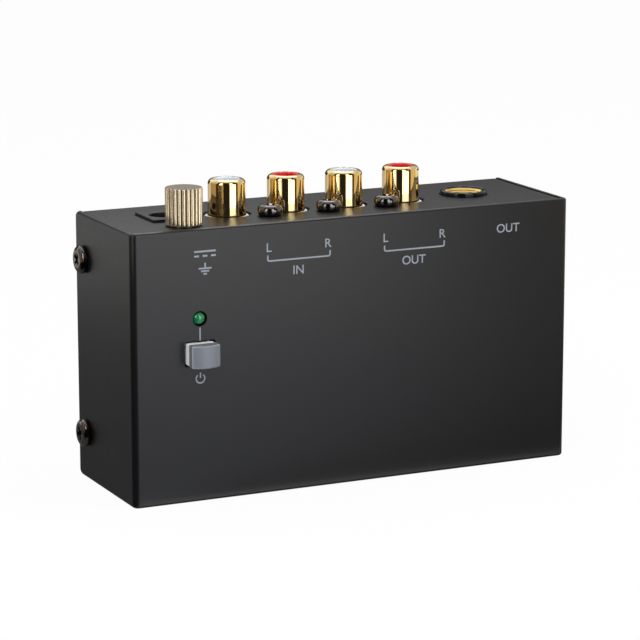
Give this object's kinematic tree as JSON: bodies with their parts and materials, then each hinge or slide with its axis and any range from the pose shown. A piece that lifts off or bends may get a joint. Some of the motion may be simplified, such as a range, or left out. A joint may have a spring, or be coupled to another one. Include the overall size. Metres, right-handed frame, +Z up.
{
  "type": "phono preamplifier",
  "caption": "Small black folded-steel stereo preamplifier box with gold phono sockets, a jack, a power inlet and a ground post on its panel, and a push button with a lamp on its label face.",
  "frame": {"origin": "middle of the standing face, under the middle of the case", "axes": "+X to the right along the row of sockets, +Y from the label face to the back plate, +Z up, out of the socket panel"},
  "size_m": [0.1094, 0.0374, 0.0681],
  "materials": {
    "cover_paint": "satin black powder coat with a fine texture",
    "chassis_paint": "satin black powder coat",
    "black_nickel": "polished black nickel",
    "black_screw": "glossy black",
    "gold_plate": "polished gold plate",
    "nut_brass": "pale satin brass",
    "plain_brass": "plain brass",
    "black_plastic": "moulded black plastic",
    "white_plastic": "glossy white",
    "red_plastic": "glossy red",
    "button_grey": "satin grey",
    "pale_nylon": "pale satin",
    "lamp_green": "clear green resin",
    "tinned_metal": "tinned",
    "board_green": "solder mask",
    "wire_green": "insulated wire",
    "can_sleeve": "shrink sleeve",
    "film_red": "dipped resin",
    "resistor_blue": "lacquered"
  },
  "bodies": {
    "case": {"cover": "cover_paint", "chassis": "chassis_paint", "case_screws": "black_nickel", "phono_block": "black_plastic", "phono_shell_in_left": "gold_plate", "phono_shell_in_right": "gold_plate", "phono_shell_out_left": "gold_plate", "phono_shell_out_right": "gold_plate", "phono_insert_in_left": "white_plastic", "phono_insert_in_right": "red_plastic", "phono_insert_out_left": "white_plastic", "phono_insert_out_right": "red_plastic", "phono_contacts": "gold_plate", "phono_ground_strap": "plain_brass", "phono_screws": "black_screw", "jack_body": "black_plastic", "jack_ferrule": "gold_plate", "jack_tip_spring": "tinned_metal", "jack_ring_spring": "tinned_metal", "jack_sleeve_tail": "tinned_metal", "power_body": "black_plastic", "power_pin": "tinned_metal", "power_spring": "tinned_metal", "ground_stud": "plain_brass", "ground_lug": "tinned_metal", "ground_lock_nut": "tinned_metal", "ground_wire": "wire_green", "switch_housing": "black_plastic", "switch_spring": "tinned_metal", "switch_pins": "tinned_metal", "lamp_lens": "lamp_green", "lamp_leads": "tinned_metal", "lamp_spacer": "black_plastic", "circuit_board": "board_green", "board_standoffs": "plain_brass", "board_screws": "tinned_metal", "amplifier_chips": "black_plastic", "coupling_capacitors": "can_sleeve", "supply_capacitor": "can_sleeve", "film_capacitors": "film_red", "resistors": "resistor_blue", "voltage_regulator": "black_plastic", "input_diode": "black_plastic"},
    "button": {"button_cap": "button_grey", "switch_plunger": "pale_nylon", "switch_bridge": "plain_brass"},
    "washer": {"ground_washer": "nut_brass"},
    "thumb_nut": {"thumb_nut": "nut_brass"}
  },
  "joints": [
    {"name": "button_push", "type": "slide", "parent": "case", "child": "button", "axis": [0, 1, 0], "range_m": [0, 0.0025], "stiffness_N_per_m": 400, "springref_m": -0.002, "deforming": ["switch_spring"]},
    {"name": "nut_rise", "type": "slide", "parent": "case", "child": "washer", "axis": [0, 0, 1], "range_m": [0, 0.0021]},
    {"name": "nut_turn", "type": "hinge", "parent": "washer", "child": "thumb_nut", "pos_m": [-0.0382, -0.0101, 0.064], "axis": [0, 0, 1], "range_deg": [0, 1080]}
  ],
  "couplings": [
    {"joint": "nut_turn", "follows": "nut_rise", "rad_per_m": 8975.9}
  ]
}
